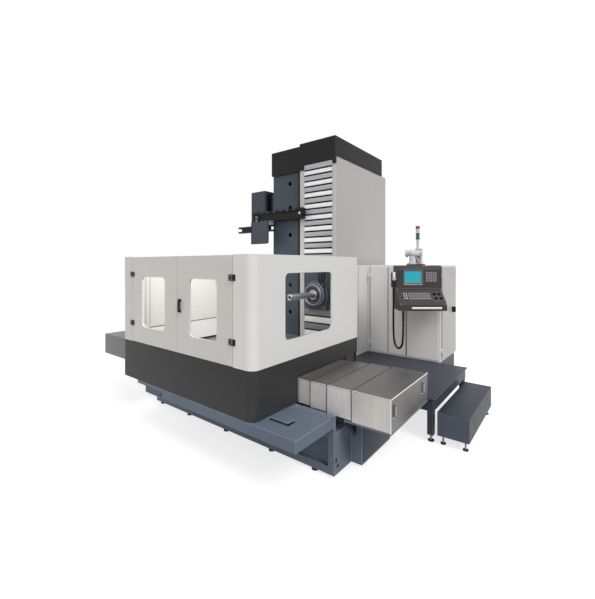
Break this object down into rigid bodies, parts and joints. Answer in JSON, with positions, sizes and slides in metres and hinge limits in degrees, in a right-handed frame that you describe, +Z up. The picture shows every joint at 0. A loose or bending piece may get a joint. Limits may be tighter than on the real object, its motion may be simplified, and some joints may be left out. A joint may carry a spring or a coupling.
{
  "type": "horizontal boring and milling machine",
  "caption": "Table-type horizontal boring mill: enclosed cross-slide table with way covers, tall column with spindle head and tool changer, operator platform, cabinet and swivelling console.",
  "frame": {"origin": "on the floor, at the middle of the machine footprint (bottom centre of its bounding box)", "axes": "+X along the table travel, to the right when facing the enclosure doors; +Y along the spindle, from the doors towards the column; +Z up"},
  "size_m": [4.955, 4.93, 4.23],
  "materials": {
    "casting_paint": "satin",
    "column_paint": "satin",
    "white_paint": "satin",
    "grey_paint": "satin",
    "dark_paint": "satin",
    "cover_steel": "satin",
    "bright_steel": "ground",
    "cast": "machined",
    "glazing": "clear",
    "black_plastic": "moulded",
    "dark_steel": "satin",
    "arm_paint": "satin",
    "console_paint": "satin",
    "screen_glass": "gloss",
    "red_lens": "gloss",
    "green_lens": "gloss",
    "red_plastic": "gloss",
    "cord_rubber": "matte"
  },
  "bodies": {
    "frame": {"x_bed": "casting_paint", "z_bed": "casting_paint", "levelling_feet": "dark_steel", "chip_tray": "casting_paint", "guide_rails": "bright_steel", "ball_screws": "bright_steel", "right_panel": "white_paint", "left_panel": "white_paint", "skirt": "dark_paint", "side_window": "glazing", "door_hinges": "black_plastic", "right_cover_1": "cover_steel", "left_hood": "cover_steel", "left_cover_1": "cover_steel", "cabinet": "grey_paint", "cabinet_plinth": "dark_paint", "cabinet_panels": "grey_paint", "side_guard": "grey_paint", "platform": "casting_paint", "step_box": "casting_paint", "console_arm": "arm_paint", "tower_light": "black_plastic", "red_lens": "red_lens", "green_lens": "green_lens"},
    "door_left": {"left_door": "white_paint", "left_door_window": "glazing"},
    "door_right": {"right_door": "white_paint", "right_door_window": "glazing", "door_handle": "black_plastic"},
    "right_segment_2": {"right_cover_2": "cover_steel"},
    "right_segment_3": {"right_cover_3": "cover_steel"},
    "right_segment_4": {"right_cover_4": "cover_steel"},
    "left_segment_2": {"left_cover_2": "cover_steel"},
    "saddle_unit": {"saddle": "cast", "right_cover_5": "cover_steel", "left_cover_3": "cover_steel"},
    "table_unit": {"rotary_table": "cast"},
    "column_unit": {"column": "column_paint", "column_cap": "dark_paint", "column_panel": "grey_paint", "apron_guides": "grey_paint", "upper_apron": "bright_steel", "lower_apron": "bright_steel", "column_rails": "bright_steel", "changer_housing": "dark_paint", "changer_rail": "dark_steel"},
    "carriage_unit": {"changer_carriage": "dark_steel"},
    "arm_unit": {"changer_arm": "dark_steel"},
    "headstock_unit": {"headstock": "column_paint"},
    "spindle_unit": {"spindle_nose": "bright_steel"},
    "quill_unit": {"quill": "bright_steel"},
    "cabinet_door_1": {"cabinet_front_door": "grey_paint"},
    "cabinet_door_2": {"cabinet_side_door": "grey_paint"},
    "console_unit": {"console": "console_paint", "screen": "screen_glass", "console_keys": "black_plastic", "pendant": "black_plastic", "pendant_cord": "cord_rubber"},
    "stop_unit": {"stop_button": "red_plastic"},
    "wheel_unit": {"pendant_wheel": "bright_steel"}
  },
  "joints": [
    {"name": "left_door_swing", "type": "hinge", "parent": "frame", "child": "door_left", "pos_m": [-1.1375, -2.446, 1.6], "axis": [0, 0, 1], "range_deg": [-100, 0]},
    {"name": "right_door_swing", "type": "hinge", "parent": "frame", "child": "door_right", "pos_m": [0.7825, -2.446, 1.6], "axis": [0, 0, 1], "range_deg": [0, 100]},
    {"name": "table_slide", "type": "slide", "parent": "frame", "child": "saddle_unit", "axis": [1, 0, 0], "range_m": [-0.48, 0.48]},
    {"name": "right_segment_2_slide", "type": "slide", "parent": "frame", "child": "right_segment_2", "axis": [1, 0, 0], "range_m": [-0.13, 0.13]},
    {"name": "right_segment_3_slide", "type": "slide", "parent": "frame", "child": "right_segment_3", "axis": [1, 0, 0], "range_m": [-0.25, 0.25]},
    {"name": "right_segment_4_slide", "type": "slide", "parent": "frame", "child": "right_segment_4", "axis": [1, 0, 0], "range_m": [-0.37, 0.37]},
    {"name": "left_segment_2_slide", "type": "slide", "parent": "frame", "child": "left_segment_2", "axis": [1, 0, 0], "range_m": [-0.25, 0.25]},
    {"name": "table_rotation", "type": "hinge", "parent": "saddle_unit", "child": "table_unit", "pos_m": [-0.0875, -1.2445, 0.9], "axis": [0, 0, 1], "continuous": true},
    {"name": "column_slide", "type": "slide", "parent": "frame", "child": "column_unit", "axis": [0, -1, 0], "range_m": [0, 0.78]},
    {"name": "headstock_lift", "type": "slide", "parent": "column_unit", "child": "headstock_unit", "axis": [0, 0, 1], "range_m": [-0.3, 1.45], "deforming": ["upper_apron", "lower_apron"]},
    {"name": "spindle_rotation", "type": "hinge", "parent": "headstock_unit", "child": "spindle_unit", "pos_m": [-0.0875, 0.12, 1.562], "axis": [0, -1, 0], "continuous": true},
    {"name": "quill_feed", "type": "slide", "parent": "spindle_unit", "child": "quill_unit", "axis": [0, -1, 0], "range_m": [-0.6, 0]},
    {"name": "changer_travel", "type": "slide", "parent": "column_unit", "child": "carriage_unit", "axis": [1, 0, 0], "range_m": [0, 0.75]},
    {"name": "changer_arm_turn", "type": "hinge", "parent": "carriage_unit", "child": "arm_unit", "pos_m": [-1.3705, 0.105, 2.74], "axis": [0, -1, 0], "range_deg": [-90, 90]},
    {"name": "cabinet_front_door_swing", "type": "hinge", "parent": "frame", "child": "cabinet_door_1", "pos_m": [0.5225, 1.034, 1.29], "axis": [0, 0, 1], "range_deg": [-100, 0]},
    {"name": "cabinet_side_door_swing", "type": "hinge", "parent": "frame", "child": "cabinet_door_2", "pos_m": [1.7465, 1.125, 1.29], "axis": [0, 0, 1], "range_deg": [-95, 0]},
    {"name": "console_swivel", "type": "hinge", "parent": "frame", "child": "console_unit", "pos_m": [1.3625, 0.8, 2.078], "axis": [0, 0, 1], "range_deg": [-75, 7]},
    {"name": "stop_press", "type": "slide", "parent": "console_unit", "child": "stop_unit", "axis": [-0.4417, 0.5654, -0.6966], "range_m": [0, 0.005], "stiffness_N_per_m": 800},
    {"name": "pendant_wheel_turn", "type": "hinge", "parent": "console_unit", "child": "wheel_unit", "pos_m": [1.23534, 0.39101, 1.86], "axis": [0.6157, -0.788, 0], "continuous": true}
  ],
  "couplings": [
    {"joint": "right_segment_4_slide", "follows": "table_slide", "ratio": 0.75},
    {"joint": "right_segment_3_slide", "follows": "table_slide", "ratio": 0.5},
    {"joint": "right_segment_2_slide", "follows": "table_slide", "ratio": 0.25},
    {"joint": "left_segment_2_slide", "follows": "table_slide", "ratio": 0.5}
  ]
}
